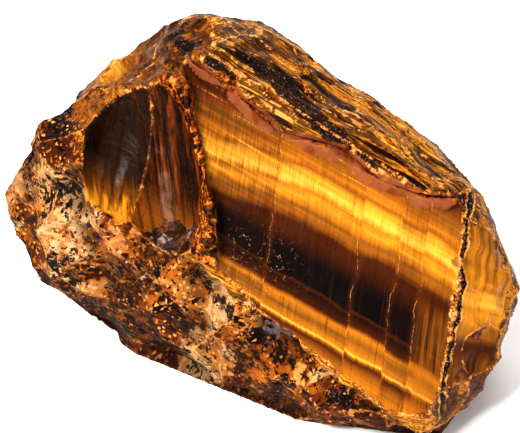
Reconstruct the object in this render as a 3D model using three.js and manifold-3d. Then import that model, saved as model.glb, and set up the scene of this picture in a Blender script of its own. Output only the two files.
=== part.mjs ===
// Rough tiger's eye: one broken lump of stone with a flat silky face, a raised band
// above it, two shell-shaped breaks on its left and a crust of iron ore below.
// Millimetres, +Z up. The stone rests on a flat break, and the origin is the middle
// of its box, at the level of that break.
import * as THREE from 'three';
import Module from 'manifold-3d';
import { mergeVertices } from 'three/addons/utils/BufferGeometryUtils.js';

// Driving dimensions. The stone is shaped in the frame of its silky face: x runs
// across the face, y up it, z out of it, and the face itself is at z = 0.
const bandHeight = 3;
const girdleLevel = -14;
const shoulderLevel = -22;
const backLevel = -42;
const faceLean = 50;
const restingLevel = -31.5;
const blockSize = 100;
const weldDistance = 1e-4;
const scoopSegments = 28;
const hollowSegments = 48;
const stoneColour = 0x8a5a1c;

// Each break is a plane. Its bearing is the way that it falls, in degrees round the
// face from x towards y. Its slope is how far it turns away from the face: 0 is level
// with it, 90 is a side wall and 180 looks straight back. Its reach is how far from
// the middle of the face it crosses the level of its list.
const frontBreaks = [
  { name: 'golden right side', bearing: 350, slope: 40, reach: 31.5 },
  { name: 'upper right facet', bearing: 30, slope: 56, reach: 28 },
  { name: 'lower right facet', bearing: 324, slope: 58, reach: 38 },
  { name: 'band lip', bearing: 57, slope: 44, reach: 20.5 },
  { name: 'band back', bearing: 54, slope: 62, reach: 21 },
  { name: 'summit', bearing: 82, slope: 58, reach: 27 },
  { name: 'striped shoulder', bearing: 128, slope: 62, reach: 27 },
  { name: 'speckled side', bearing: 188, slope: 38, reach: 22 },
  { name: 'orange side', bearing: 204, slope: 50, reach: 20.5 },
  { name: 'cream side', bearing: 220, slope: 48, reach: 15.5 },
  { name: 'crust', bearing: 232, slope: 36, reach: 11 },
  { name: 'dark flank', bearing: 235, slope: 60, reach: 16 },
  { name: 'rusty edge', bearing: 247, slope: 58, reach: 20 },
  { name: 'bottom ledge', bearing: 268, slope: 52, reach: 29 },
];

const sideBreaks = [
  { name: 'right end', bearing: 0, slope: 90, reach: 40 },
  { name: 'upper right end', bearing: 27, slope: 88, reach: 31.5 },
  { name: 'right shoulder', bearing: 42, slope: 90, reach: 27.5 },
  { name: 'upper right', bearing: 53, slope: 92, reach: 25 },
  { name: 'top', bearing: 86, slope: 90, reach: 31 },
  { name: 'upper left', bearing: 122, slope: 88, reach: 33.5 },
  { name: 'left shoulder', bearing: 146, slope: 92, reach: 37.5 },
  { name: 'left end', bearing: 180, slope: 90, reach: 42.5 },
  { name: 'left flank', bearing: 209, slope: 88, reach: 37 },
  { name: 'lower left', bearing: 234, slope: 90, reach: 30.5 },
  { name: 'lower edge', bearing: 245, slope: 88, reach: 29.5 },
  { name: 'bottom', bearing: 263, slope: 90, reach: 30.5 },
  { name: 'lower right corner', bearing: 319, slope: 88, reach: 43.5 },
  { name: 'lower right end', bearing: 340, slope: 90, reach: 41.5 },
];

const backBreaks = [
  { name: 'back top', bearing: 84, slope: 128, reach: 31 },
  { name: 'back top right', bearing: 44, slope: 126, reach: 27 },
  { name: 'back right', bearing: 4, slope: 118, reach: 39 },
  { name: 'back lower right', bearing: 330, slope: 138, reach: 39 },
  { name: 'back top left', bearing: 126, slope: 124, reach: 32 },
  { name: 'back left', bearing: 172, slope: 120, reach: 40 },
  { name: 'back lower left', bearing: 214, slope: 138, reach: 34 },
];

const back = { name: 'back', bearing: 60, slope: 172, reach: 0, level: backLevel };

// The silky face is sunk below the band and the left ridge, inside these corners.
// It runs out freely over the crust at the bottom.
const silkyFace = [
  [-13, 27], [-4, 21], [3, 14], [13, 11.5], [17, 8], [25, 4.5], [31, 4],
  [31.5, -40], [-20, -40], [-7, -8], [-8, 4], [-10, 12],
];

// The two shell-shaped breaks left of the silky face and the furrow in the band: each
// is the side of a large smooth shell, given by its centre, its radii and its turn about z.
const scoops = [
  { name: 'dark scoop', centre: [-22.5, 10.5, 5.5], radii: [7.5, 14, 13], turn: -10 },
  { name: 'red scoop', centre: [-16.5, 7.5, 9], radii: [8.5, 19, 14], turn: 9 },
  { name: 'band furrow', centre: [12, 19.5, 2], radii: [14, 3.5, 3.5], turn: -35 },
];

// Shallow round hollows in the breaks: how far aside of the middle of the break they
// lie, turning from x towards y, how far down its slope from the level of its list, how
// wide they are and how deep.
const hollows = [
  { on: 'crust', aside: -6, down: 18, across: 17, depth: 1.4 },
  { on: 'crust', aside: 13, down: 15, across: 12, depth: 1 },
  { on: 'crust', aside: 2, down: 3, across: 13, depth: 0.8 },
  { on: 'cream side', aside: -9, down: 19, across: 11, depth: 1.2 },
  { on: 'orange side', aside: -13, down: 24, across: 12, depth: 1.2 },
  { on: 'speckled side', aside: -14, down: 20, across: 11, depth: 1 },
  { on: 'striped shoulder', aside: 2, down: 12, across: 12, depth: 1.1 },
  { on: 'summit', aside: 5, down: 6, across: 9, depth: 0.9 },
  { on: 'band back', aside: 4, down: 3, across: 12, depth: 1 },
  { on: 'band back', aside: -15, down: 4, across: 10, depth: 0.9 },
  { on: 'golden right side', aside: 4, down: 11, across: 10, depth: 0.9 },
  { on: 'golden right side', aside: -14, down: 8, across: 9, depth: 0.8 },
  { on: 'lower right facet', aside: -6, down: 4, across: 9, depth: 0.8 },
  { on: 'bottom ledge', aside: 12, down: 3, across: 10, depth: 1 },
  { on: 'upper left', aside: 14, down: -1, across: 12, depth: 1.8 },
  { on: 'upper right', aside: 5, down: -4, across: 10, depth: 1.2 },
  { on: 'lower left', aside: -6, down: 10, across: 14, depth: 1 },
  { on: 'back', aside: 0, down: 6, across: 28, depth: 3 },
  { on: 'back top', aside: -2, down: 2, across: 20, depth: 2.5 },
  { on: 'back top right', aside: -4, down: 3, across: 18, depth: 2 },
  { on: 'back right', aside: -6, down: 4, across: 16, depth: 1.6 },
  { on: 'back left', aside: 4, down: 4, across: 15, depth: 1.6 },
];

const wasm = await Module();
wasm.setup();

// A plane of the stone, with the two ways to go along it: aside on the level, and down.
function placed({ name, bearing, slope, reach, level }) {
  const turn = THREE.MathUtils.degToRad(bearing);
  const lean = THREE.MathUtils.degToRad(slope);
  const outwards = new THREE.Vector3(Math.cos(turn), Math.sin(turn), 0);
  const facing = outwards.clone().multiplyScalar(Math.sin(lean)).setZ(Math.cos(lean));
  const aside = new THREE.Vector3(-Math.sin(turn), Math.cos(turn), 0);
  const down = new THREE.Vector3().crossVectors(facing, aside).negate();
  const through = outwards.multiplyScalar(reach).setZ(level);
  return { name, facing, aside, down, through };
}

const breaks = [
  ...frontBreaks.map((each) => placed({ ...each, level: 0 })),
  ...sideBreaks.map((each) => placed({ ...each, level: girdleLevel })),
  ...backBreaks.map((each) => placed({ ...each, level: shoulderLevel })),
  placed(back),
];

function solidFrom(geometry) {
  const bare = geometry.index ? geometry.toNonIndexed() : geometry.clone();
  bare.deleteAttribute('normal');
  bare.deleteAttribute('uv');
  const merged = mergeVertices(bare, weldDistance);
  return new wasm.Manifold(new wasm.Mesh({
    numProp: 3,
    vertProperties: new Float32Array(merged.attributes.position.array),
    triVerts: new Uint32Array(merged.index.array),
  }));
}

function geometryFrom(solid) {
  const mesh = solid.getMesh();
  const geometry = new THREE.BufferGeometry();
  geometry.setAttribute('position', new THREE.BufferAttribute(new Float32Array(mesh.vertProperties), 3));
  geometry.setIndex(new THREE.BufferAttribute(new Uint32Array(mesh.triVerts), 1));
  return geometry;
}

// A block with its top at the height of the band.
function roughBlock() {
  const block = new THREE.BoxGeometry(blockSize, blockSize, blockSize);
  block.translate(0, 0, bandHeight - blockSize / 2);
  return solidFrom(block);
}

function cleave(solid, { through, facing }) {
  const wasteSize = 2 * blockSize;
  const waste = new THREE.BoxGeometry(wasteSize, wasteSize, wasteSize);
  waste.translate(0, 0, wasteSize / 2);
  waste.applyQuaternion(new THREE.Quaternion().setFromUnitVectors(new THREE.Vector3(0, 0, 1), facing));
  waste.translate(...through);
  return solid.subtract(solidFrom(waste));
}

function sinkFace(solid, corners) {
  const shape = new THREE.Shape(corners.map(([x, y]) => new THREE.Vector2(x, y)));
  const waste = new THREE.ExtrudeGeometry(shape, { depth: 2 * bandHeight, bevelEnabled: false });
  return solid.subtract(solidFrom(waste));
}

function scoopOut(solid, { centre, radii, turn }) {
  const shell = new THREE.SphereGeometry(1, scoopSegments, scoopSegments / 2);
  shell.scale(...radii);
  shell.rotateZ(THREE.MathUtils.degToRad(turn));
  shell.translate(...centre);
  return solid.subtract(solidFrom(shell));
}

// A hollow is the cap of a sphere that stands out of its break.
function hollowOut(solid, { on, aside, down, across, depth }) {
  const ground = breaks.find(({ name }) => name === on);
  const radius = (across * across / 4 + depth * depth) / (2 * depth);
  const centre = ground.through.clone();
  centre.addScaledVector(ground.aside, aside);
  centre.addScaledVector(ground.down, down);
  centre.addScaledVector(ground.facing, radius - depth);
  const ball = new THREE.SphereGeometry(radius, hollowSegments, hollowSegments / 2);
  ball.translate(...centre);
  return solid.subtract(solidFrom(ball));
}

function stoneInFaceFrame() {
  let stone = breaks.reduce(cleave, roughBlock());
  stone = sinkFace(stone, silkyFace);
  stone = scoops.reduce(scoopOut, stone);
  return hollows.reduce(hollowOut, stone);
}

// Leans the silky face back, takes off what is below the flat break that the stone
// rests on, and brings the origin to the middle of the resting level.
function restingStone() {
  const leaning = geometryFrom(stoneInFaceFrame());
  leaning.rotateX(THREE.MathUtils.degToRad(faceLean));
  const restingBreak = {
    through: new THREE.Vector3(0, 0, restingLevel),
    facing: new THREE.Vector3(0, 0, -1),
  };
  const geometry = geometryFrom(cleave(solidFrom(leaning), restingBreak));
  geometry.computeBoundingBox();
  const middle = geometry.boundingBox.getCenter(new THREE.Vector3());
  geometry.translate(-middle.x, -middle.y, -geometry.boundingBox.min.z);
  return geometry;
}

const stone = new THREE.Mesh(
  restingStone(),
  new THREE.MeshStandardMaterial({ color: stoneColour, roughness: 0.45, metalness: 0, flatShading: true }),
);
stone.name = 'rough_tigers_eye';

const object = new THREE.Group();
object.add(stone);

export default object;
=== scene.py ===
import math

import bmesh
import bpy
import numpy as np
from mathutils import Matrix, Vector
from mathutils.bvhtree import BVHTree
from mathutils.kdtree import KDTree


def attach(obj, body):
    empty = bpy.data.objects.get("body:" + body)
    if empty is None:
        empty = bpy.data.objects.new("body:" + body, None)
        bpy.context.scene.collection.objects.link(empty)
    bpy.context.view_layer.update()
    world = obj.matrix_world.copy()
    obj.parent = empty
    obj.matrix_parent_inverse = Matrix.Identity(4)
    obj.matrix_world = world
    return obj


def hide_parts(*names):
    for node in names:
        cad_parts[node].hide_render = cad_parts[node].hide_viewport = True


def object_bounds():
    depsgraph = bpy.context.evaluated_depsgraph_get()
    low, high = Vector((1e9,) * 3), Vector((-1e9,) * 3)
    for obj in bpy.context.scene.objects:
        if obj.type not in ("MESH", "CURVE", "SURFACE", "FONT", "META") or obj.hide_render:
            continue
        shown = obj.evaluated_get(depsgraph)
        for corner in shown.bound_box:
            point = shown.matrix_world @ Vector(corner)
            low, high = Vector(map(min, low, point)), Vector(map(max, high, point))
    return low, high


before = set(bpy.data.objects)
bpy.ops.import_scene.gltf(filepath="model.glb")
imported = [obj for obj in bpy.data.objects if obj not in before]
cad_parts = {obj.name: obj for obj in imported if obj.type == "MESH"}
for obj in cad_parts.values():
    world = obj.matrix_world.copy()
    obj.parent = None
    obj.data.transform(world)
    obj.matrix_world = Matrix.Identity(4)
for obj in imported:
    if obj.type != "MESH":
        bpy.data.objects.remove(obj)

NODE = "rough_tigers_eye"
MM = 0.001
SEED = 11

REACH_RIGHT, REACH_UP = 40.0, 32.0

# The mesh and its relief, in mm.
GRAIN_SIZE = 0.43                   # edge length of the fine mesh
SHARP_EDGE = math.radians(17)       # CAD edges sharper than this are chipped
SHALLOW_EDGE = math.radians(9)      # and so are edges sharper than this, if they are long
LONG_EDGE = 4.0
EDGE_STEP = 0.25                    # spacing of the points along a sharp edge
FAR = 9.0                           # stands for any distance that is too large to matter
REGION_SMOOTHING = 4                # passes that blur the borders between breaks
NORMAL_SMOOTHING = 3                # passes that blur the way that points are moved
FLAT_BASE = 1.2                     # height over which the relief fades to the flat base
BASE_WEAR, WORN_HEIGHT = 1.1, 7.0   # how much, and how far up, the edge of the base is worn
SLOPE_RISE = 2.0                    # how high the slopes at the foot of the band stand out
CHIP_DEPTH, CHIP_REACH = 0.7, 1.5   # of the chips along the sharp edges
COARSE_CHIP, FINE_CHIP = 9.0, 2.6   # sizes of the chips of the crust
COARSE_DEPTH, FINE_DEPTH = 7.5, 1.3
LENS_LENGTH, LENS_WIDTH = 24.0, 3.4  # sizes of the lenses of the band
LENS_DEPTH = 2.3
SCOOP_DEPTH = 3.5                   # how much deeper the crust starts in the scoops
RIPPLE_FROM = (-14.0, 24.0)         # the point, in x and y, that the ripples spread from
HOLLOW_DEPTH = 0.6                  # how deep the hollows of facets are, against their size
HASH_RATES = (1.27, 2.69, 4.19, 5.83, 7.11, 8.57, 9.37)    # one for each number that scatters them

# The breaks of the CAD stone that look different from the rest: bearing and slope.
GOLDEN_SIDE = (350, 40)
SPECKLED_SIDE, DARK_FLANK = (188, 38), (235, 60)
CREAM_SIDE, ORANGE_SIDE = (220, 48), (204, 50)
STRIPED_SHOULDER, UPPER_LEFT = (128, 62), (122, 88)
LOWER_RIGHT_FACET, LOWER_RIGHT_CORNER = (324, 58), (319, 88)
FLANK_BEARING = 225
HIDDEN_DEPTH = -16                  # z below which a side break is like the back, mm
# The two shell-shaped breaks, as in the CAD: centre and radii in mm, and turn in degrees.
DARK_SCOOP = ((-22.5, 10.5, 5.5), (7.5, 14.0, 13.0), -10)
RED_SCOOP = ((-16.5, 7.5, 9.0), (8.5, 19.0, 14.0), 9)
SHELL_REACH = 0.6                   # how near to a shell its break is, mm

# What runs through the stone.
CRUST_SHEETS = ((231, 11.0), (192, 25.0), (262, 29.0))     # bearing, and reach in mm
BAND_ANGLE = math.radians(-30)      # how the colour bands run across the silky face
BAND_DIP = 0.25                     # how much they dip into the stone
FIBRE_ANGLE = math.radians(8)       # how far the fibres lean to the right
VEIN_PLACE, VEIN_WIDTH = 31.4, 0.5  # across the fibres, mm
SCRATCHED_PLACE = (-2.0, -8.0, 0.0)  # middle of the scratched part of the silky face, mm
CRYSTAL_PLACE = (2.5, -15.0, -2.0)  # middle of the grey crystals in the crust, mm
LUMP_PLACE = (7.0, 17.0)            # middle of the black lump in the band, x and y, mm

# The cracks: place across the fibres and jump of the layers, in mm, and how much lighter
# the fibres beyond are, a painted chatoyant sheen that changes from panel to panel.
CRACKS = ((1.5, 0.35, 0.16), (15.3, -0.5, 0.10), (21.5, 0.45, -0.18), (25.5, -0.4, 0.12))

STONE_IOR = 1.54
STONE_SPECULAR = 0.07

# Linear colours of the minerals.
PALE_GOLD = (0.80, 0.40, 0.060)
GOLD = (0.64, 0.27, 0.022)
HONEY = (0.46, 0.165, 0.012)
OLIVE = (0.24, 0.092, 0.010)
AMBER = (0.30, 0.100, 0.009)
RUST = (0.17, 0.042, 0.006)
UMBER = (0.070, 0.017, 0.003)
DARK = (0.018, 0.006, 0.003)
BLACK = (0.006, 0.004, 0.004)
SALMON = (0.24, 0.080, 0.034)
CHIP = (0.80, 0.36, 0.10)
CREAM = (0.58, 0.38, 0.20)
TAN = (0.30, 0.125, 0.030)
SMOKE = (0.026, 0.013, 0.010)
ORANGE = (0.42, 0.125, 0.012)
PLUM = (0.10, 0.050, 0.045)
GREY = (0.26, 0.22, 0.22)
PALE_GREY = (0.42, 0.36, 0.35)

# The tones of each kind of break: place on its ramp, and colour.
BAND_TONES = (
    (0.0, BLACK), (0.10, UMBER), (0.16, GOLD), (0.21, AMBER), (0.29, DARK),
    (0.36, HONEY), (0.42, PALE_GOLD), (0.47, AMBER), (0.54, UMBER), (0.60, GOLD),
    (0.66, HONEY), (0.72, DARK), (0.80, AMBER), (0.86, PALE_GOLD), (1.0, UMBER),
)
SHOULDER_TONES = ((0.36, BLACK), (0.44, UMBER), (0.50, RUST), (0.56, AMBER), (0.62, UMBER), (0.70, GOLD))
CORNER_TONES = ((0.38, BLACK), (0.46, UMBER), (0.54, PLUM), (0.62, RUST), (0.70, CHIP))
SMOKY_TONES = ((0.36, BLACK), (0.48, SMOKE), (0.58, DARK), (0.68, UMBER))
RED_TONES = ((0.36, BLACK), (0.46, DARK), (0.54, UMBER), (0.61, RUST), (0.70, UMBER))
CRYSTAL_TONES = ((0.45, BLACK), (0.60, SMOKE), (0.72, PLUM), (0.78, RUST), (0.86, SMOKE), (0.95, GREY))
SALMON_TONES = ((0.36, RUST), (0.46, SALMON), (0.58, SALMON), (0.68, ORANGE))
CRUST_TONES = (
    (0.0, DARK), (0.16, UMBER), (0.30, RUST), (0.42, ORANGE), (0.50, RUST), (0.56, UMBER),
    (0.62, ORANGE), (0.72, TAN), (0.82, CREAM), (0.90, TAN), (1.0, CREAM),
)
FLANK_TONES = (
    (0.0, BLACK), (0.25, UMBER), (0.50, DARK), (0.62, RUST), (0.72, UMBER), (0.80, TAN), (1.0, ORANGE),
)
CHIP_TONES = ((0.38, BLACK), (0.46, UMBER), (0.51, RUST), (0.55, ORANGE), (0.61, CHIP))
RIDGE_TONES = ((0.42, BLACK), (0.47, UMBER), (0.52, RUST), (0.58, ORANGE), (0.68, CHIP))

# The main patches of the crust: x, y and radius in mm, and place on CRUST_TONES.
PATCHES = (
    (-13.0, -9.5, 5.0, 0.66), (-17.5, -17.5, 4.6, 0.02), (-9.5, -22.5, 4.8, 0.98),
    (-35.0, 6.0, 4.5, 0.72), (-29.5, -1.5, 5.0, 0.95), (-24.5, -4.5, 3.6, 0.45),
    (-27.0, -11.5, 2.8, 0.84), (-24.0, -16.0, 2.8, 0.84), (1.0, -22.0, 4.0, 0.50),
    (11.0, -28.5, 5.0, 0.04), (-1.0, -14.5, 3.4, 0.98),
)

# The layers of the fibre seam: place across the bands in mm, and colour.
LAYERS = (
    (-18, UMBER), (-16, AMBER), (-14, HONEY), (-12.8, AMBER), (-11.6, UMBER), (-11.1, AMBER),
    (-10.8, PALE_GOLD), (-10.5, HONEY), (-9.0, OLIVE), (-7.8, HONEY), (-7.0, UMBER), (-5.4, DARK),
    (-4.9, UMBER), (-4.6, BLACK), (-1.2, BLACK), (-0.2, DARK), (2.0, UMBER), (3.4, UMBER),
    (4.6, AMBER), (5.6, OLIVE), (6.3, HONEY), (7.2, GOLD), (8.2, HONEY), (9.0, PALE_GOLD),
    (10.6, GOLD), (11.4, AMBER), (12.2, HONEY), (13.2, AMBER), (14.6, OLIVE), (15.8, RUST),
    (18.0, UMBER), (24.0, UMBER),
)


# ---------------------------------------------------------------- noise on arrays

class Noise:
    """Smooth gradient noise in space, from one seeded table."""

    def __init__(self, seed):
        rng = np.random.default_rng(seed)
        self.order = rng.permutation(256)
        directions = rng.normal(size=(256, 3))
        self.directions = directions / np.linalg.norm(directions, axis=1, keepdims=True)

    def at(self, points):
        cell = np.floor(points).astype(int)
        part = points - cell
        fade = part ** 3 * (part * (part * 6 - 15) + 10)
        total = np.zeros(len(points))
        for corner in np.ndindex(2, 2, 2):
            place = (cell + corner) & 255
            key = self.order[place[:, 0]]
            key = self.order[(key + place[:, 1]) & 255]
            key = self.order[(key + place[:, 2]) & 255]
            slope = (self.directions[key] * (part - corner)).sum(axis=1)
            total += slope * np.where(corner, fade, 1 - fade).prod(axis=1)
        return total * 1.6

    def rough(self, points, octaves):
        total = np.zeros(len(points))
        for octave in range(octaves):
            total += self.at(points * 2 ** octave + 17.3 * octave) / 2 ** octave
        return total

    def ridged(self, points, octaves):
        total = np.zeros(len(points))
        for octave in range(octaves):
            total += (1 - 2 * np.abs(self.at(points * 2 ** octave + 9.1 * octave))) / 2 ** octave
        return total


def facets(points, seed):
    """Shallow hollows that meet in crisp ridges, one around each of scattered points: the height
    of each point, the tone of its hollow from 0 to 1, and how far it is inside the hollow."""
    cell = np.floor(points).astype(int)
    lowest = np.full(len(points), FAR)
    second = lowest.copy()
    tone = np.zeros(len(points))
    for step in np.ndindex(3, 3, 3):
        place = cell + np.array(step) - 1
        key = place @ np.array([127, 311, 743]) + seed
        parts = [np.modf(np.abs(np.sin(key * k) * 4375.85))[0] for k in HASH_RATES]
        scatter, tilt = np.stack(parts[:3], axis=1), np.stack(parts[3:6], axis=1) - 0.5
        offset = points - place - scatter
        height = HOLLOW_DEPTH * (offset ** 2).sum(axis=1) + (offset * tilt).sum(axis=1)
        lower = height < lowest
        second = np.where(lower, lowest, np.minimum(second, height))
        lowest = np.where(lower, height, lowest)
        tone = np.where(lower, parts[6], tone)
    return lowest - lowest.mean(), tone, second - lowest


def way(bearing, slope=90.0):
    """The direction that a break of this bearing and slope, in degrees, faces."""
    turn, lean = math.radians(bearing), math.radians(slope)
    return np.array([math.sin(lean) * math.cos(turn), math.sin(lean) * math.sin(turn), math.cos(lean)])


def on_shell(places, facing, shell):
    """Whether each point lies on the inside of an ellipsoid, given as a scoop is."""
    centre, radii, turn = shell
    turned = np.array([way(turn), way(turn + 90), (0, 0, 1)])
    local = (places - centre) @ turned.T / radii
    level = np.linalg.norm(local, axis=1)
    inward = -(local / radii) @ turned
    inward /= np.linalg.norm(inward, axis=1, keepdims=True)
    return (np.abs(level - 1) * min(radii) < SHELL_REACH) & ((facing * inward).sum(axis=1) > 0.9)


def smoothstep(low, high, value):
    t = np.clip((value - low) / (high - low), 0, 1)
    return t * t * (3 - 2 * t)


# ---------------------------------------------------------------- the CAD stone

def cad_mesh():
    mesh = bmesh.new()
    mesh.from_mesh(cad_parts[NODE].data)
    bmesh.ops.remove_doubles(mesh, verts=mesh.verts, dist=0.00001)
    mesh.normal_update()
    return mesh


def face_frame(mesh):
    """The silky face is the largest flat break that faces the front without turning aside."""
    areas = {}
    for face in mesh.faces:
        n = face.normal
        if abs(n.x) < 0.01 and n.y < -0.3 and n.z > 0.3:
            key = (round(n.y, 2), round(n.z, 2), round(n.dot(face.verts[0].co) / MM))
            areas.setdefault(key, []).append(face)
    silky = max(areas.values(), key=lambda faces: sum(f.calc_area() for f in faces))
    outward = np.array(silky[0].normal)
    axes = np.array([[1, 0, 0], np.cross(outward, [1, 0, 0]), outward])
    places = np.array([v.co for v in mesh.verts]) @ axes.T
    origin = places.max(axis=0) - np.array([REACH_RIGHT, REACH_UP, 0]) * MM
    origin[2] = outward @ np.array(silky[0].verts[0].co)
    return axes, origin


def to_face(points, axes, origin):
    return (points @ axes.T - origin) / MM


def to_world(points, axes, origin):
    return (points * MM + origin) @ axes


def sharp_edge_points(mesh, convex):
    points = []
    for edge in mesh.edges:
        if len(edge.link_faces) != 2:
            continue
        long_edge = edge.calc_length() > LONG_EDGE * MM
        if edge.calc_face_angle() < (SHALLOW_EDGE if long_edge else SHARP_EDGE):
            continue
        if (edge.calc_face_angle_signed() > 0) != convex:
            continue
        start, end = (v.co for v in edge.verts)
        steps = max(1, int((end - start).length / (EDGE_STEP * MM)))
        points += [start.lerp(end, i / steps) for i in range(steps + 1)]
    tree = KDTree(len(points))
    for index, point in enumerate(points):
        tree.insert(point, index)
    tree.balance()
    return tree


# ---------------------------------------------------------------- the fine mesh

def remeshed(mesh):
    data = bpy.data.meshes.new("stone")
    mesh.to_mesh(data)
    stone = bpy.data.objects.new("tigers_eye_stone", data)
    bpy.context.scene.collection.objects.link(stone)
    remesh = stone.modifiers.new("grain", "REMESH")
    remesh.mode = "VOXEL"
    remesh.voxel_size = GRAIN_SIZE * MM
    evaluated = stone.evaluated_get(bpy.context.evaluated_depsgraph_get())
    fine = bpy.data.meshes.new_from_object(evaluated)
    stone.modifiers.clear()
    stone.data = fine
    fine.name = "tigers_eye_stone"
    return stone


def blurred(values, edges, passes):
    count = np.bincount(edges.ravel(), minlength=len(values))
    for _ in range(passes):
        total = np.bincount(edges[:, 0], weights=values[edges[:, 1]], minlength=len(values))
        total += np.bincount(edges[:, 1], weights=values[edges[:, 0]], minlength=len(values))
        values = 0.5 * values + 0.5 * total / count
    return values


def regions(places, facing, edges):
    """How much each point of the surface belongs to each kind of break, from 0 to 1."""
    x, y, z = places.T

    def faces(break_, share):
        """Whether each point faces the way of a CAD break, as nearly as the share says."""
        return facing @ way(*break_) > share

    right_end = (x > 28) & (x - 0.2 * y < 40.5) & (y < 5) & (y > -30)
    found = {
        "silky": (facing[:, 2] > 0.995) & (np.abs(z) < 0.6),
        "step": (np.abs(facing[:, 2]) < 0.2) & (z > -0.3) & (z < 3.2) & (y > 0),
        "left_ridge": (z > 0.7) & (x < -4) & (y < 23),
        "golden_side": faces(GOLDEN_SIDE, 0.9) & right_end,
        "dark_breaks": faces(SPECKLED_SIDE, 0.97) | faces(DARK_FLANK, 0.985),
        "flank": (facing[:, 2] < 0.6) & (facing @ way(FLANK_BEARING) > 0.3),
        "pale_breaks": faces(CREAM_SIDE, 0.992) | faces(ORANGE_SIDE, 0.996),
        "dark_scoop": on_shell(places, facing, DARK_SCOOP),
        "red_scoop": on_shell(places, facing, RED_SCOOP),
        "shoulder": faces(STRIPED_SHOULDER, 0.95) | (faces(UPPER_LEFT, 0.95) & (z > HIDDEN_DEPTH)),
        "corner": faces(LOWER_RIGHT_FACET, 0.97) | (faces(LOWER_RIGHT_CORNER, 0.97) & (z > HIDDEN_DEPTH)),
    }
    found = {name: blurred(mask.astype(float), edges, REGION_SMOOTHING) for name, mask in found.items()}
    # The crust is everything beyond sheets that run through the stone.
    found["crust_depth"] = np.max([places @ way(bearing) - reach for bearing, reach in CRUST_SHEETS], axis=0)
    found["scoops"] = np.minimum(found["dark_scoop"] + found["red_scoop"], 1)
    return found


def crust_relief(noise, places):
    """Coarse and fine chips: the relief, the height in the fine chips, and the tones."""
    bent = places + 0.5 * np.column_stack([noise.rough(places * 0.3 + shift, 3) for shift in (0, 31, 67)])
    coarse, coarse_tone, coarse_border = facets(bent / COARSE_CHIP, SEED)
    fine, fine_tone, _ = facets(bent / FINE_CHIP, SEED + 1)
    lumps = 0.35 * noise.rough(places * 0.10, 2) + COARSE_DEPTH * coarse + FINE_DEPTH * fine
    lumps += 0.07 * noise.rough(places * 0.9, 3)
    tones = {
        "crust_tone": coarse_tone,
        "crust_border": coarse_border * COARSE_CHIP,
        "chip_tone": fine_tone,
    }
    return lumps, fine, tones


def band_relief(noise, places, along, across):
    """Lenses and strands that run along the bands: the relief and the tones."""
    z = places[:, 2]
    lens_place = np.column_stack([along / LENS_LENGTH, across / LENS_WIDTH, z / LENS_WIDTH])
    lens_place += 0.25 * noise.at(places * 0.1)[:, None]
    lenses, lens_tone, lens_border = facets(lens_place, SEED + 2)
    strand_place = np.column_stack([along * 0.07, across * 0.9, z * 0.7])
    strands = 0.4 + LENS_DEPTH * lenses + 0.10 * noise.ridged(strand_place, 3)
    strands += 0.35 * noise.rough(places * 0.13, 3)
    return strands, {"lens_tone": lens_tone, "lens_border": lens_border * LENS_WIDTH}


def scoop_relief(noise, places):
    """Ripples that spread from the point where the stone was struck, in shallow hollows."""
    from_blow = np.hypot(places[:, 0] - RIPPLE_FROM[0], places[:, 1] - RIPPLE_FROM[1])
    ripples = 0.05 * np.sin(from_blow * 1.5 + 2 * noise.at(places * 0.1))
    ripples += 0.35 * noise.rough(places * 0.11, 2)
    return ripples + 0.5 * facets(places * np.array([0.16, 0.07, 0.1]), SEED + 3)[0]


def silky_relief(noise, places, along, across):
    """Fine fibres, faint lines along the bands, and cracks."""
    x, y, z = places.T
    fibre_across = math.cos(FIBRE_ANGLE) * x - math.sin(FIBRE_ANGLE) * y
    fibre_along = math.sin(FIBRE_ANGLE) * x + math.cos(FIBRE_ANGLE) * y
    fibre_place = np.column_stack([fibre_across * 1.6, fibre_along * 0.10, z * 0.3])
    silk = 0.07 * noise.rough(fibre_place, 3) + 0.22 * noise.rough(places * 0.09, 2)
    silk += 0.05 * noise.ridged(np.column_stack([along * 0.05, across * 0.9, z]), 2)
    for crack, _, _ in CRACKS:
        wander = 0.35 * noise.at(np.column_stack([fibre_along * 0.15, 0 * x + crack, 0 * x]))
        silk -= 0.05 * np.exp(-((fibre_across - crack + wander) / 0.28) ** 2)
    return silk


def relief(places, found, near_edge, step_fillet, height):
    """How far each point moves out along the surface, in mm, and the chips that it is in."""
    noise = Noise(SEED)
    x, y, _ = places.T
    along = math.cos(BAND_ANGLE) * x + math.sin(BAND_ANGLE) * y
    across = -math.sin(BAND_ANGLE) * x + math.cos(BAND_ANGLE) * y
    lumps, fine_chips, crust_tones = crust_relief(noise, places)
    strands, band_tones = band_relief(noise, places, along, across)
    ripples = scoop_relief(noise, places)
    silk = silky_relief(noise, places, along, across)

    crust_depth = found["crust_depth"] - SCOOP_DEPTH * found["scoops"]
    crust = smoothstep(-0.6, 1.0, crust_depth + 0.8 * noise.at(places * 0.6))
    scoop = found["scoops"] * (1 - crust)
    silky = found["silky"] * (1 - crust)
    plain = np.clip(1 - crust - scoop - silky, 0, 1)
    lumps *= 1 - 0.5 * found["flank"]
    out = crust * lumps + plain * strands + scoop * ripples + silky * silk

    # The step up to the band is a slope here and there, not a wall.
    slope = smoothstep(3.4, 0.4, step_fillet) * smoothstep(-0.7, 0.3, noise.at(places * 0.13 + 5)) * silky
    out += SLOPE_RISE * slope
    chips = np.clip(0.6 * fine_chips + 0.35 + 0.3 * noise.rough(places * 0.4, 2), 0, 1)
    chips *= smoothstep(CHIP_REACH, 0, near_edge) * (0.15 + 0.85 * np.maximum(crust, plain))
    out -= CHIP_DEPTH * chips
    out -= BASE_WEAR * smoothstep(WORN_HEIGHT, 0, height) * (1 - silky)
    tones = {"relief": out, "slope": slope, **crust_tones, **band_tones}
    return out * smoothstep(0, FLAT_BASE, height), tones


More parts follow.
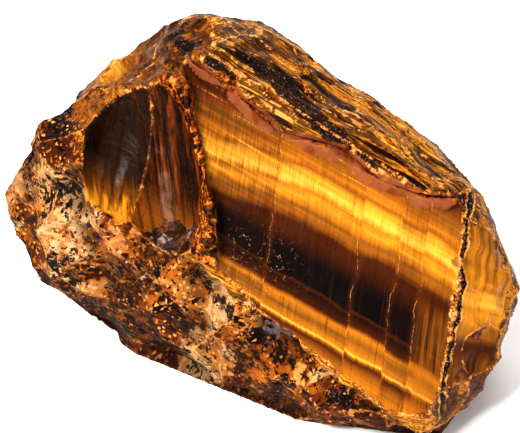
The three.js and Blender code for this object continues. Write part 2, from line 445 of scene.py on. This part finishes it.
def store(mesh, name, values):
    kind = "FLOAT_VECTOR" if values.ndim == 2 else "FLOAT"
    attribute = mesh.attributes.new(name, kind, "POINT")
    key = "vector" if values.ndim == 2 else "value"
    attribute.data.foreach_set(key, values.astype(np.float32).ravel())


def make_stone():
    mesh = cad_mesh()
    axes, origin = face_frame(mesh)
    breaks = BVHTree.FromBMesh(mesh)
    ridges = sharp_edge_points(mesh, convex=True)
    clefts = sharp_edge_points(mesh, convex=False)
    stone = remeshed(mesh)
    mesh.free()

    fine = stone.data
    co = np.empty(len(fine.vertices) * 3, np.float32)
    fine.vertices.foreach_get("co", co)
    co = co.reshape(-1, 3).astype(float)
    edges = np.empty(len(fine.edges) * 2, np.int32)
    fine.edges.foreach_get("vertices", edges)
    edges = edges.reshape(-1, 2)

    normals = np.array([breaks.find_nearest(Vector(p))[1] for p in co])
    near_ridge = np.array([ridges.find(Vector(p))[2] for p in co]) / MM
    cleft_places, _, near_cleft = zip(*[clefts.find(Vector(p)) for p in co])
    near_cleft = np.array(near_cleft) / MM
    across_bands = axes.T @ np.array([-math.sin(BAND_ANGLE), math.cos(BAND_ANGLE), 0])
    below_cleft = (np.array(cleft_places) - co) @ across_bands / MM > 0.8 * near_cleft
    step_fillet = np.where(below_cleft, near_cleft, FAR)
    smooth = np.column_stack([blurred(normals[:, i], edges, NORMAL_SMOOTHING) for i in range(3)])
    smooth /= np.linalg.norm(smooth, axis=1, keepdims=True)

    places = to_face(co, axes, origin)
    facing = normals @ axes.T
    found = regions(places, facing, edges)
    height = (co[:, 2] - co[:, 2].min()) / MM
    out, tones = relief(places, found, near_ridge, step_fillet, height)
    moved = co + smooth * out[:, None] * MM
    moved[:, 2] = np.maximum(moved[:, 2], 0)
    fine.vertices.foreach_set("co", moved.astype(np.float32).ravel())

    store(fine, "face_place", places)
    store(fine, "near_ridge", near_ridge)
    store(fine, "near_cleft", near_cleft)
    for name, values in (found | tones).items():
        store(fine, name, values)
    fine.polygons.foreach_set("use_smooth", [True] * len(fine.polygons))
    fine.update()
    return stone, axes, origin


# ---------------------------------------------------------------- shader nodes

class Shader:
    """A material, with short names for the nodes that it is made of."""

    def __init__(self, name):
        self.material = bpy.data.materials.new(name)
        self.material.use_nodes = True
        self.tree = self.material.node_tree
        self.tree.nodes.clear()

    def node(self, kind, inputs=(), **settings):
        made = self.tree.nodes.new(kind)
        for key, value in settings.items():
            setattr(made, key, value)
        for key, value in dict(inputs).items():
            self.put(made.inputs[key], value)
        return made

    def put(self, socket, value):
        if isinstance(value, bpy.types.NodeSocket):
            self.tree.links.new(value, socket)
        elif isinstance(value, tuple) and len(value) == 3 and socket.type == "RGBA":
            socket.default_value = (*value, 1)
        else:
            socket.default_value = value

    def math(self, operation, *values):
        return self.node("ShaderNodeMath", enumerate(values), operation=operation).outputs[0]

    def times(self, a, b):
        return self.math("MULTIPLY", a, b)

    def both(self, *masks):
        total = masks[0]
        for mask in masks[1:]:
            total = self.times(total, mask)
        return total

    def rest_of(self, share):
        return self.math("SUBTRACT", 1.0, share)

    def sum_of(self, *terms):
        """Each term is a value and its weight."""
        total = 0.0
        for value, weight in terms:
            total = self.math("MULTIPLY_ADD", value, weight, total)
        return total

    def step(self, value, low, high):
        """Rises smoothly from 0 at low to 1 at high, or falls if high is the smaller."""
        start, end = (0.0, 1.0) if low < high else (1.0, 0.0)
        inputs = {"Value": value, "From Min": min(low, high), "From Max": max(low, high),
                  "To Min": start, "To Max": end}
        return self.node("ShaderNodeMapRange", inputs, interpolation_type="SMOOTHSTEP").outputs[0]

    def value(self, name):
        return self.node("ShaderNodeAttribute", attribute_name=name).outputs["Fac"]

    def vector(self, x, y, z):
        return self.node("ShaderNodeCombineXYZ", enumerate((x, y, z))).outputs[0]

    def distance(self, a, b):
        return self.node("ShaderNodeVectorMath", {0: a, 1: b}, operation="DISTANCE").outputs["Value"]

    def noise(self, vector, scale, detail=3.0, roughness=0.55, distortion=0.0):
        inputs = {"Vector": vector, "Scale": scale, "Detail": detail,
                  "Roughness": roughness, "Distortion": distortion}
        return self.node("ShaderNodeTexNoise", inputs).outputs[0]

    def cells(self, vector, scale, output="Color", feature="F1"):
        inputs = {"Vector": vector, "Scale": scale}
        return self.node("ShaderNodeTexVoronoi", inputs, feature=feature).outputs[output]

    def mix(self, factor, a, b):
        made = self.node("ShaderNodeMix", data_type="RGBA")
        self.put(made.inputs[0], factor)
        self.put(made.inputs[6], a)
        self.put(made.inputs[7], b)
        return made.outputs[2]

    def ramp(self, value, stops):
        """Colours at places along a value, in the value's own units."""
        low, high = stops[0][0], stops[-1][0]
        share = self.math("DIVIDE", self.math("SUBTRACT", value, low), high - low)
        made = self.node("ShaderNodeValToRGB", {"Fac": share})
        elements = made.color_ramp.elements
        while len(elements) < len(stops):
            elements.new(1.0)
        for element, (place, colour) in zip(elements, stops):
            element.position = (place - low) / (high - low)
            element.color = (*colour, 1)
        return made.outputs[0]

    def principled(self, inputs):
        surface = self.node("ShaderNodeBsdfPrincipled", inputs)
        self.node("ShaderNodeOutputMaterial", {"Surface": surface.outputs[0]})


# ---------------------------------------------------------------- the stone's material

class StoneShader(Shader):
    """The shader of the stone, with the places, noises and masks that its parts share."""

    def __init__(self):
        super().__init__("tigers_eye")
        self.place = self.node("ShaderNodeAttribute", attribute_name="face_place").outputs["Vector"]
        self.x, self.y, self.z = self.node("ShaderNodeSeparateXYZ", {0: self.place}).outputs
        self.lay_out_seam()
        self.lay_out_grains()
        self.lay_out_masks()

    def lay_out_seam(self):
        """Places along and across the bands and the fibres, streaks along the fibres, thin lines
        along the bands, and the strands of the weathered breaks."""
        x, y, z = self.x, self.y, self.z
        self.along = self.sum_of((x, math.cos(BAND_ANGLE)), (y, math.sin(BAND_ANGLE)))
        self.across = self.sum_of((x, -math.sin(BAND_ANGLE)), (y, math.cos(BAND_ANGLE)), (z, BAND_DIP))
        self.fibre_across = self.sum_of((x, math.cos(FIBRE_ANGLE)), (y, -math.sin(FIBRE_ANGLE)))
        self.fibre_along = self.sum_of((x, math.sin(FIBRE_ANGLE)), (y, math.cos(FIBRE_ANGLE)))
        fibre_place = self.vector(self.fibre_across, self.times(self.fibre_along, 0.045), self.times(z, 0.12))
        self.streaks = self.noise(fibre_place, 1.6, 5.0, 0.62)
        self.fine_streaks = self.noise(fibre_place, 6.5, 3.0, 0.6)
        lines_place = self.vector(self.times(self.along, 0.025), self.across, self.times(z, 0.1))
        self.lines = self.noise(lines_place, 1.7, 4.0, 0.6)
        self.strand_place = self.vector(self.times(self.along, 0.03), self.across, self.times(z, 0.8))
        self.strands = self.noise(self.strand_place, 0.95, 6.0, 0.58, 0.15)

    def lay_out_grains(self):
        """Clouds of tone, noise in two sizes, and the specks and grit of the crust."""
        place = self.place
        self.clouds = self.noise(place, 0.09, 2.0)
        self.fine = self.noise(place, 1.3, 8.0, 0.78)
        self.coarse = self.noise(place, 0.42, 7.0, 0.75)
        self.speckle = self.step(self.noise(place, 3.0, 2.0), 0.60, 0.68)
        self.speckled_black = self.mix(self.times(self.speckle, 0.7), BLACK, GREY)
        noise = {"Vector": place, "Scale": 0.9, "Detail": 4.0}
        jitter = self.node("ShaderNodeTexNoise", noise).outputs["Color"]
        bend = {0: jitter, 1: (0.6, 0.6, 0.6), 2: place}
        bent = self.node("ShaderNodeVectorMath", bend, operation="MULTIPLY_ADD").outputs[0]
        self.specks = self.node("ShaderNodeSeparateColor", {0: self.cells(bent, 0.85)}).outputs
        self.grit = self.node("ShaderNodeSeparateColor", {0: self.cells(bent, 2.3)}).outputs

    def lay_out_masks(self):
        """The kinds of break that change the colour, the finish and the relief alike."""
        self.on_scoop = self.step(self.value("scoops"), 0.40, 0.60)
        off_silky = self.step(self.rest_of(self.value("silky")), 0.35, 0.65)
        off_side = self.step(self.rest_of(self.value("golden_side")), 0.35, 0.65)
        self.weathered = self.both(off_silky, off_side)
        crust_edge = self.sum_of(
            (self.value("crust_depth"), 1.0),
            (self.noise(self.place, 0.55, 5.0, 0.65), 5.0),
            (self.on_scoop, -SCOOP_DEPTH),
            (1.0, -2.6),
        )
        self.crusted = self.step(crust_edge, -0.15, 0.35)


def seam_layer(s):
    """Which of the LAYERS each place is in, and how much painted sheen lightens its panel between cracks."""
    # The bands bend on the left above the black one, and jump a little at each crack.
    bend = s.both(s.step(s.x, 10.0, -10.0), s.step(s.across, -3.0, 2.0))
    layer = s.sum_of((s.across, 1.0), (bend, 3.5), (s.value("golden_side"), 4.5))
    layer = s.math("MULTIPLY_ADD", s.math("SUBTRACT", s.streaks, 0.5), 0.6, layer)
    layer = s.math("MULTIPLY_ADD", s.math("SUBTRACT", s.clouds, 0.5), 2.2, layer)
    panel_sheen = 0.0
    for crack, jump, lighter in CRACKS:
        beyond = s.step(s.fibre_across, crack - 0.1, crack + 0.1)
        layer = s.math("MULTIPLY_ADD", beyond, jump, layer)
        panel_sheen = s.math("MULTIPLY_ADD", beyond, lighter, panel_sheen)
    return layer, panel_sheen


def fibre_colour(s):
    """The fibres of the seam: layers, shaded by streaks and by painted sheen in the panels between cracks,
    with threads and painted glints along them.
    """
    layer, panel_sheen = seam_layer(s)
    fibre = s.ramp(layer, LAYERS)
    # Streaks and lines darken the fibres, and each panel's painted sheen lightens or darkens them.
    streaks_and_sheen = s.sum_of((s.streaks, 1.3), (s.fine_streaks, 1.1), (s.lines, 1.4), (panel_sheen, 1.7))
    streaks_and_sheen = s.step(streaks_and_sheen, 1.25, 2.65)
    fibre = s.mix(s.times(s.rest_of(streaks_and_sheen), 0.72), fibre, DARK)
    thread_place = s.vector(s.times(s.fibre_across, 2.6), s.times(s.fibre_along, 0.05), s.times(s.z, 0.2))
    threads = s.step(s.noise(thread_place, 1.0, 3.0, 0.6), 0.60, 0.66)
    threads = s.both(threads, s.step(s.noise(s.place, 0.12, 2.0), 0.44, 0.56))
    fibre = s.mix(s.times(threads, 0.55), fibre, UMBER)
    # Painted glints: pale gold highlight lines along the fibres, only in the gold layers.
    painted_glints = s.step(s.sum_of((s.lines, 1.0), (s.fine_streaks, 0.5)), 0.86, 1.02)
    glinting_layers = s.step(layer, 3.0, 8.0)
    fibre = s.mix(s.both(painted_glints, glinting_layers, 0.65), fibre, PALE_GOLD)
    return with_fibre_places(s, fibre, layer)


def with_fibre_places(s, fibre, layer):
    """The three places where the seam is of another colour than its layers."""
    # The panel beside the vein is amber throughout.
    beside_vein = s.step(s.fibre_across, 24.5, 28.0)
    amber_panel = s.both(beside_vein, s.step(layer, 3.0, 0.0), s.step(s.streaks, 0.30, 0.65))
    fibre = s.mix(s.times(amber_panel, 0.65), fibre, AMBER)
    # The side break at the right end is gilt down to its foot.
    above_foot = s.step(s.y, -20.0, -15.0)
    gilt = s.both(above_foot, s.step(layer, -5.0, 3.0), s.step(s.streaks, 0.25, 0.70))
    fibre = s.mix(s.both(s.value("golden_side"), gilt, 0.6), fibre, GOLD)
    # The far right corner of the silky face is dark.
    corner = s.step(s.sum_of((s.x, 0.6), (s.y, 0.8), (s.clouds, 2.0)), 19.5, 23.0)
    return s.mix(s.both(corner, s.value("silky"), 0.8), fibre, UMBER)


def lens_colour(s):
    """Lenses of gold and brown with dark edges, and painted highlight streaks along the strands between them.
    """
    lens_tone = s.sum_of((s.value("lens_tone"), 0.75), (s.strands, 2.4), (1.0, -1.08))
    colour = s.ramp(lens_tone, BAND_TONES)
    lens_edge = s.sum_of((s.value("lens_border"), 1.0), (s.noise(s.place, 0.9, 4.0), 0.5))
    colour = s.mix(s.times(s.step(lens_edge, 0.72, 0.40), 0.75), colour, DARK)
    chipped = s.both(s.step(lens_edge, 0.34, 0.26), s.step(s.strands, 0.45, 0.53), 0.8)
    colour = s.mix(chipped, colour, CHIP)
    # Painted highlights: thin pale gold streaks along the strands, in patches set by the clouds.
    painted_streak_highlights = s.step(s.noise(s.strand_place, 3.2, 3.0), 0.62, 0.68)
    return s.mix(s.both(painted_streak_highlights, s.step(s.clouds, 0.40, 0.55), 0.8), colour, PALE_GOLD)


def black_sheets(s):
    """Where the band is black: thin sheets along it, and the lump at LUMP_PLACE."""
    sheet_place = s.vector(s.times(s.along, 0.16), s.across, s.z)
    sheets = s.step(s.noise(sheet_place, 0.22, 6.0, 0.66), 0.570, 0.585)
    ragged = s.noise(s.place, 0.5, 4.0)
    lump = s.sum_of((s.x, 1.0), (s.y, 1.0), (ragged, 4.0), (1.0, -2.0 - sum(LUMP_PLACE)))
    lump = s.step(s.math("ABSOLUTE", lump), 2.3, 1.9)
    lump = s.both(lump, s.step(s.across, 15.0, 15.6), s.step(s.across, 21.2, 20.6))
    return s.math("MAXIMUM", sheets, lump)


def band_colour(s, fibre):
    """The weathered breaks: the band, the shoulder above the scoops and the dark summit. Deep
    down they turn into fibres."""
    colour = lens_colour(s)
    shoulder = s.ramp(s.noise(s.strand_place, 1.6, 6.0, 0.66), SHOULDER_TONES)
    colour = s.mix(s.times(s.value("shoulder"), 0.8), colour, shoulder)
    summit = s.both(s.step(s.y, 20.0, 25.0), s.step(s.x, 6.0, 0.0))
    summit = s.times(summit, s.step(s.noise(s.place, 0.5, 5.0, 0.7), 0.44, 0.50))
    colour = s.mix(s.times(summit, 0.75), colour, DARK)
    colour = s.mix(s.times(black_sheets(s), 0.93), colour, s.speckled_black)
    deep = s.both(s.step(s.z, -8.0, -14.0), s.step(s.clouds, 0.42, 0.56))
    return s.mix(s.times(deep, 0.85), colour, fibre)


def scoop_colour(s):
    """The two glassy scoops, with the golden foot of one and the dark crystals of the other."""
    place, x, y, z = s.place, s.x, s.y, s.z
    red_scoop = s.value("red_scoop")
    glass_place = s.vector(s.sum_of((x, 1.0), (y, 0.10)), s.times(y, 0.07), s.times(z, 0.25))
    streaks = s.noise(glass_place, 1.0, 5.0, 0.65, 0.3)
    glass = s.mix(s.step(red_scoop, 0.4, 0.6), s.ramp(streaks, SMOKY_TONES), s.ramp(streaks, RED_TONES))
    foot = s.sum_of((y, 1.0), (x, 0.45), (streaks, 12.0), (1.0, -6.0))
    glass = s.mix(s.times(s.step(foot, -1.0, -8.0), 0.55), glass, AMBER)
    glass = s.mix(s.both(s.step(foot, -6.0, -9.0), s.step(red_scoop, 0.7, 0.2), 0.8), glass, GOLD)
    ragged = s.noise(place, 0.5, 4.0)
    crystals = s.both(s.step(s.sum_of((y, 1.0), (ragged, 10.0)), 5.0, 4.0), red_scoop)
    crystal_tone = s.sum_of((s.specks[0], 0.5), (s.grit[0], 0.3), (ragged, 0.5))
    return s.mix(s.times(crystals, 0.9), glass, s.ramp(crystal_tone, CRYSTAL_TONES))


def with_step(s, colour):
    """The salmon step between the band and the silky face."""
    salmon = s.ramp(s.noise(s.place, 0.35, 3.0), SALMON_TONES)
    on_slope = s.sum_of((s.value("slope"), 1.0), (s.noise(s.place, 0.7, 5.0), 0.5), (1.0, -0.25))
    colour = s.mix(s.times(s.step(on_slope, 0.22, 0.32), 0.9), colour, salmon)
    return s.mix(s.step(s.value("step"), 0.25, 0.6), colour, salmon)


def with_cracks(s, colour, beads):
    """The cracks along the fibres, beaded with rust."""
    on_silky = s.step(s.value("silky"), 0.4, 0.7)
    for number, (crack, _, _) in enumerate(CRACKS):
        wander_place = s.vector(0.0, s.times(s.fibre_along, 0.13), 3.0 + 5.0 * number)
        wander = s.noise(wander_place, 1.0, 5.0, 0.6)
        offset = s.sum_of((s.fibre_across, 1.0), (wander, 3.2), (1.0, -crack - 1.6))
        offset = s.math("ABSOLUTE", offset)
        line = s.both(s.step(offset, 0.09, 0.02), beads, on_silky)
        colour = s.mix(s.times(line, 0.55), colour, CHIP)
        halo = s.both(s.step(offset, 0.8, 0.1), on_silky)
        colour = s.mix(s.times(halo, 0.15), colour, RUST)
    return colour


def with_vein(s, colour, beads):
    """The dark vein at the right end of the silky face, with its rusty borders."""
    wander = s.noise(s.vector(0.0, s.times(s.fibre_along, 0.12), 3.0), 1.0, 5.0)
    from_vein = s.sum_of((s.fibre_across, 1.0), (wander, 4.0), (1.0, -VEIN_PLACE - 2.0))
    from_vein = s.math("ABSOLUTE", from_vein)
    from_vein = s.sum_of((from_vein, 1.0), (s.noise(s.place, 0.35, 4.0), 1.6), (1.0, -0.75))
    in_front = s.step(s.z, -5.0, -3.0)
    borders = s.both(s.step(from_vein, VEIN_WIDTH + 0.32, VEIN_WIDTH + 0.1), in_front)
    colour = s.mix(s.both(borders, s.step(beads, 0.0, 0.5), 0.9), colour, CHIP)
    core = s.both(s.step(from_vein, VEIN_WIDTH, VEIN_WIDTH - 0.25), in_front)
    return s.mix(core, colour, s.mix(s.speckle, BLACK, GREY))


def with_scratches(s, colour):
    """White scratches at the lower left of the silky face."""
    scratch_place = s.vector(s.sum_of((s.x, 1.0), (s.y, 0.5)), s.sum_of((s.y, 1.0), (s.x, -0.5)), 0.0)
    scratches = s.step(s.cells(scratch_place, 1.1, "Distance", "DISTANCE_TO_EDGE"), 0.035, 0.01)
    broken = s.step(s.noise(s.place, 1.2, 3.0), 0.54, 0.60)
    near = s.step(s.distance(s.place, SCRATCHED_PLACE), 11.0, 3.0)
    return s.mix(s.both(scratches, broken, near, s.value("silky"), 0.49), colour, CREAM)


def crust_tone(s):
    """The place of each chip on CRUST_TONES, and how free of patches each place is."""
    warm = s.noise(s.place, 0.10, 3.0)
    tone = s.sum_of((s.value("crust_tone"), 0.85), (s.value("chip_tone"), 0.25), (warm, 0.6), (1.0, -0.35))
    blot = s.sum_of((s.noise(s.place, 0.30, 5.0, 0.62), 9.0), (1.0, -4.5))
    speckled_side = s.both(s.value("dark_breaks"), s.step(s.x, -18.0, -22.0))
    clear_of_speckles = s.rest_of(speckled_side)
    patched = 0.0
    for patch_x, patch_y, radius, patch_tone in PATCHES:
        offset = s.distance(s.vector(s.x, s.y, 0.0), (patch_x, patch_y, 0.0))
        inside = s.step(s.math("ADD", offset, blot), radius + 0.6, radius - 0.6)
        inside = s.times(inside, clear_of_speckles)
        patched = s.math("MAXIMUM", patched, inside)
        shift = s.math("SUBTRACT", s.sum_of((tone, 0.3), (1.0, 0.7 * patch_tone)), tone)
        tone = s.math("MULTIPLY_ADD", inside, shift, tone)
    return tone, s.rest_of(patched)


def with_specks(s, crust, dark_break, unpatched):
    """The specks and grit of the crust. Each hollow has its own share of black and orange ones."""
    share = s.math("FRACT", s.times(s.value("crust_tone"), 7.3))
    crowd = s.sum_of((s.noise(s.place, 0.22, 5.0, 0.7), 0.8), (share, 0.20), (1.0, -0.02))
    calm = s.step(s.noise(s.place, 0.12, 3.0), 0.46, 0.56)
    calm = s.math("MAXIMUM", calm, s.math("MAXIMUM", s.times(s.value("flank"), unpatched), dark_break))
    busy = s.math("MULTIPLY_ADD", calm, -0.75, 1.0)
    orange = s.step(s.sum_of((s.specks[1], 0.45), (crowd, 1.0)), 0.82, 0.84)
    crust = s.mix(s.both(orange, busy, 0.7), crust, ORANGE)
    crust = s.mix(s.times(s.step(s.coarse, 0.445, 0.41), 0.8), crust, DARK)
    pale = s.step(s.sum_of((s.specks[2], 0.5), (crowd, -1.0)), 0.10, 0.12)
    crust = s.mix(s.both(pale, busy, 0.7), crust, CHIP)
    crust = s.mix(s.both(s.step(s.fine, 0.60, 0.66), busy, 0.5), crust, CHIP)
    black = s.step(s.sum_of((s.specks[0], 0.6), (crowd, 1.0)), 0.60, 0.585)
    crust = s.mix(s.both(black, busy, 0.95), crust, BLACK)
    black_grit = s.step(s.sum_of((s.grit[0], 0.8), (crowd, 1.0)), 0.60, 0.58)
    crust = s.mix(s.times(black_grit, 0.9), crust, BLACK)
    crust = s.mix(s.times(s.step(s.grit[1], 0.93, 0.95), 0.8), crust, CHIP)
    return s.mix(s.both(s.step(s.grit[2], 0.80, 0.84), dark_break, 0.9), crust, ORANGE)


def crust_colour(s):
    """The crust of iron ore: rusty, cream and black chips with fine gold and black grains."""
    tone, unpatched = crust_tone(s)
    crust = s.ramp(tone, CRUST_TONES)
    dark_break = s.both(s.step(s.value("dark_breaks"), 0.4, 0.6), unpatched)
    crust = s.mix(s.times(dark_break, 0.85), crust, UMBER)
    pale_break = s.both(s.step(s.value("pale_breaks"), 0.3, 0.7), s.step(s.coarse, 0.47, 0.56))
    crust = s.mix(s.times(pale_break, 0.5), crust, CREAM)
    flank_tone = s.sum_of((s.value("crust_tone"), 0.7), (s.value("chip_tone"), 0.3))
    on_flank = s.both(s.value("flank"), unpatched)
    crust = s.mix(s.times(on_flank, 0.85), crust, s.ramp(flank_tone, FLANK_TONES))
    crust = with_specks(s, crust, dark_break, unpatched)
    chip_edge = s.sum_of((s.value("crust_border"), 1.0), (s.coarse, 2.0), (1.0, -0.9))
    crust = s.mix(s.times(s.step(chip_edge, 0.22, 0.10), 0.6), crust, CHIP)
    crust = s.mix(s.times(on_flank, 0.40), crust, DARK)
    clusters = s.step(s.noise(s.place, 0.26, 7.0, 0.8), 0.55, 0.565)
    crust = s.mix(s.times(clusters, 0.95), crust, s.speckled_black)
    from_crystals = s.sum_of((s.distance(s.place, CRYSTAL_PLACE), 1.0), (s.coarse, 12.0))
    crystals = s.both(s.step(from_crystals, 10.5, 9.0), s.step(s.specks[1], 0.45, 0.47))
    return s.mix(s.times(crystals, 0.8), crust, s.mix(s.grit[2], GREY, PALE_GREY))


def with_edge_wear_painted_highlight_and_shade(s, colour, chipped):
    """Chipped ridges are pale and rusty, on the crust partly as a painted highlight along the arrises, and
    clefts and the crust's low spots get painted shade.
    """
    # Pale chips and rust beads along the ridges: edge wear, and on the crust partly a painted highlight that
    # marks the arrises.
    chip_shade = s.sum_of((s.fine, 1.0), (s.specks[0], 0.16), (1.0, -0.08))
    faint = s.sum_of((s.crusted, -0.45), (s.on_scoop, -0.3), (1.0, 0.95))
    colour = s.mix(s.times(chipped, faint), colour, s.ramp(chip_shade, CHIP_TONES))
    arris_wear_and_highlight = s.sum_of((s.value("near_ridge"), 1.0), (s.noise(s.place, 0.8, 4.0), 0.9), (1.0, -0.45))
    arris_share = s.sum_of((s.step(s.value("scoops"), 0.80, 0.98), -0.55), (1.0, 0.75))
    beaded = s.mix(s.step(s.fine, 0.46, 0.54), RUST, CHIP)
    colour = s.mix(s.times(s.step(arris_wear_and_highlight, 0.30, 0.14), arris_share), colour, beaded)
    left_ridge = s.step(s.value("left_ridge"), 0.12, 0.3)
    colour = s.mix(s.times(left_ridge, 0.95), colour, s.ramp(chip_shade, RIDGE_TONES))
    # Painted shade in the low spots of the crust.
    low = s.step(s.value("relief"), -0.25, -1.1)
    colour = s.mix(s.both(low, s.crusted, 0.6), colour, DARK)
    # Painted shade along the clefts.
    painted_cleft_shade = s.step(s.value("near_cleft"), 0.45, 0.1)
    return s.mix(s.times(painted_cleft_shade, 0.6), colour, DARK)


def stone_colour(s, chipped):
    """Fibres first, then each thing that lies over or cuts through what comes before it."""
    fibre = fibre_colour(s)
    colour = s.mix(s.times(s.weathered, 0.92), fibre, band_colour(s, fibre))
    rough_corner = s.ramp(s.noise(s.place, 0.8, 7.0, 0.72), CORNER_TONES)
    colour = s.mix(s.times(s.step(s.value("corner"), 0.35, 0.65), 0.9), colour, rough_corner)
    colour = s.mix(s.times(s.on_scoop, 0.97), colour, scoop_colour(s))
    colour = with_step(s, colour)
    beads = s.step(s.noise(s.place, 0.75, 6.0, 0.75), 0.45, 0.60)
    colour = with_cracks(s, colour, beads)
    colour = with_vein(s, colour, beads)
    colour = with_scratches(s, colour)
    colour = s.mix(s.crusted, colour, crust_colour(s))
    return with_edge_wear_painted_highlight_and_shade(s, colour, chipped)


def stone_material():
    """Fibres are silky, scoops glassy and the crust dull."""
    s = StoneShader()
    chip_noise = s.noise(s.place, 0.6, 6.0, 0.70)
    ridge_edge = s.sum_of((s.value("near_ridge"), 1.0), (chip_noise, -4.0), (s.crusted, 0.1), (1.0, 1.95))
    chipped = s.step(ridge_edge, 0.15, -0.15)
    roughness = s.sum_of((s.fine_streaks, 0.25), (s.crusted, 0.22), (s.on_scoop, -0.12), (1.0, 0.22))
    heights = s.sum_of(
        (s.both(s.fine, s.crusted), 0.40),
        (s.both(s.strands, s.weathered), 0.30),
        (s.fine_streaks, 0.035),
        (chipped, 0.06),
    )
    bump = s.node("ShaderNodeBump", {"Height": heights, "Strength": 0.85, "Distance": MM})
    s.principled({
        "Base Color": stone_colour(s, chipped),
        "Roughness": roughness,
        "Normal": bump.outputs[0],
        "IOR": STONE_IOR,
        "Specular IOR Level": STONE_SPECULAR,
    })
    return s.material


# ---------------------------------------------------------------- the stage

LENS, SENSOR = 200.0, 36.0        # focal length and width of the camera's sensor, mm
FILL = 1.017                      # how much of the picture's width the stone takes
AIM = (-0.3, 0.9, 0.0)            # what the camera looks at, in the face frame, mm
FLOOR_SIZE = 6.0                  # m
FLOOR_TONE, FLOOR_ROUGHNESS = (0.9, 0.9, 0.9), 0.9
WORLD_STRENGTH = 0.32

# The lights: name, place and size in m, and power in W.
LIGHTS = (
    ("key", (-0.35, -0.30, 0.55), 0.25, 7.0),
    ("fill", (0.50, -0.45, 0.35), 0.40, 1.6),
    ("back", (0.10, 0.55, 0.45), 0.40, 3.0),
)


def plain_material(name, colour, roughness):
    s = Shader(name)
    s.principled({"Base Color": colour, "Roughness": roughness})
    return s.material


def make_camera(axes, origin, width):
    camera = bpy.data.objects.new("camera", bpy.data.cameras.new("camera"))
    bpy.context.scene.collection.objects.link(camera)
    camera.data.lens = LENS
    camera.data.sensor_width = SENSOR
    distance = width / FILL * LENS / SENSOR
    aim = Vector(to_world(np.array(AIM), axes, origin))
    camera.location = aim + Vector(axes[2]) * distance
    camera.rotation_euler = Vector(axes[2]).to_track_quat("Z", "Y").to_euler()
    bpy.context.scene.camera = camera


def make_light(name, place, size, power, aim):
    data = bpy.data.lights.new(name, "AREA")
    data.size = size
    data.energy = power
    light = bpy.data.objects.new(name, data)
    light.location = place
    light.rotation_euler = (Vector(place) - aim).to_track_quat("Z", "Y").to_euler()
    bpy.context.scene.collection.objects.link(light)


def make_stage(middle):
    bpy.ops.mesh.primitive_plane_add(size=FLOOR_SIZE, location=(0, 0, 0))
    floor = bpy.context.object
    floor.name = "floor"
    floor.data.materials.append(plain_material("pale_floor", FLOOR_TONE, FLOOR_ROUGHNESS))
    for name, place, size, power in LIGHTS:
        make_light(name, place, size, power, middle)
    world = bpy.data.worlds.new("studio")
    world.use_nodes = True
    background = world.node_tree.nodes["Background"]
    background.inputs["Color"].default_value = (1, 1, 1, 1)
    background.inputs["Strength"].default_value = WORLD_STRENGTH
    bpy.context.scene.world = world
    bpy.context.scene.view_settings.view_transform = "Standard"
    bpy.context.scene.view_settings.look = "High Contrast"


cad_low, cad_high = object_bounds()
stone, axes, origin = make_stone()
make_camera(axes, origin, cad_high[0] - cad_low[0])
stone.data.materials.clear()
stone.data.materials.append(stone_material())
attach(stone, "root")
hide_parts(NODE)
make_stage((Vector(cad_low) + Vector(cad_high)) / 2)
